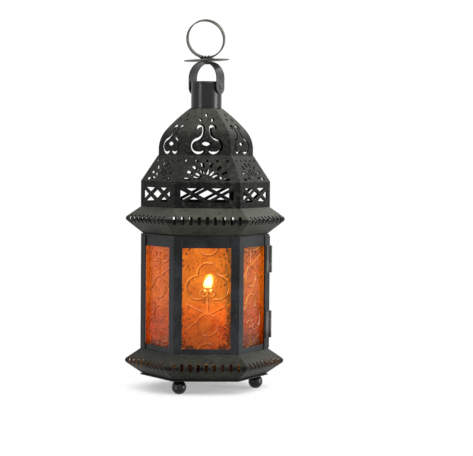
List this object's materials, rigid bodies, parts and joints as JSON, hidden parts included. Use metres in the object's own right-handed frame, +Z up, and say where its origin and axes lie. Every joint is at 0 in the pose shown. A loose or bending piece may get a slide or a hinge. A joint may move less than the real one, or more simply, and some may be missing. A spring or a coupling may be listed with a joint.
{
  "type": "candle lantern",
  "caption": "Six-sided candle lantern of pierced dark metal with amber pressed-glass panes, a hinged glass door, a domed top, a swinging bail and a swivel ring for hanging.",
  "frame": {"origin": "on the table, under the lantern's vertical axis", "axes": "+Z up the lantern's axis; -Y out of the front pane; +X to the hinge corner on the viewer's right"},
  "size_m": [0.12, 0.104, 0.2779],
  "materials": {
    "dark_iron": "satin charcoal black paint over sheet metal, worn olive-grey at the folds",
    "ring_bronze": "satin olive-bronze paint, worn to bare metal at the edges",
    "amber_glass": "pressed amber glass with raised scrolls, glossy outside",
    "candle_wax": "smooth ivory paraffin with a melted pool",
    "wick_cotton": "charred braided cotton"
  },
  "bodies": {
    "lantern": {"foot_right": "dark_iron", "foot_back_left": "dark_iron", "foot_front_left": "dark_iron", "foot_studs": "dark_iron", "base_plate": "dark_iron", "base_skirt": "dark_iron", "post_right": "dark_iron", "post_back_right": "dark_iron", "post_back_left": "dark_iron", "post_left": "dark_iron", "post_front_left": "dark_iron", "post_front_right": "dark_iron", "lower_rail": "dark_iron", "upper_rail": "dark_iron", "crown_plate": "dark_iron", "glass_clips": "dark_iron", "post_leaf_lower": "dark_iron", "post_leaf_upper": "dark_iron", "hinge_pins": "dark_iron", "latch_rivet": "dark_iron", "candle_cup": "dark_iron", "eave": "dark_iron", "gallery_band": "dark_iron", "gallery_roof": "dark_iron", "cupola": "dark_iron", "neck": "dark_iron", "bail_rivets": "dark_iron", "glass_back": "amber_glass", "glass_back_left": "amber_glass", "glass_front_left": "amber_glass", "glass_front": "amber_glass", "glass_front_right": "amber_glass", "candle_wax": "candle_wax", "candle_wick": "wick_cotton"},
    "door": {"door_frame": "dark_iron", "door_glass": "amber_glass", "door_glass_clips": "dark_iron", "door_leaf_lower": "dark_iron", "door_leaf_upper": "dark_iron"},
    "latch": {"latch_button": "dark_iron"},
    "bail": {"bail": "ring_bronze"},
    "ring": {"rosette": "ring_bronze", "petals": "ring_bronze", "swivel_pin": "ring_bronze", "hanging_ring": "ring_bronze"}
  },
  "joints": [
    {"name": "door_hinge", "type": "hinge", "parent": "lantern", "child": "door", "pos_m": [0.04977, 0, 0.0734], "axis": [0, 0, -1], "range_deg": [0, 180]},
    {"name": "latch_turn", "type": "hinge", "parent": "lantern", "child": "latch", "pos_m": [0.02649, 0.04093, 0.073], "axis": [-0.866, -0.5, 0], "range_deg": [0, 90]},
    {"name": "bail_swing", "type": "hinge", "parent": "lantern", "child": "bail", "pos_m": [0, 0, 0.2278], "axis": [0.8192, -0.5736, 0], "range_deg": [-90, 90]},
    {"name": "ring_swivel", "type": "hinge", "parent": "bail", "child": "ring", "pos_m": [0, 0, 0.2468], "axis": [0, 0, 1], "continuous": true}
  ]
}
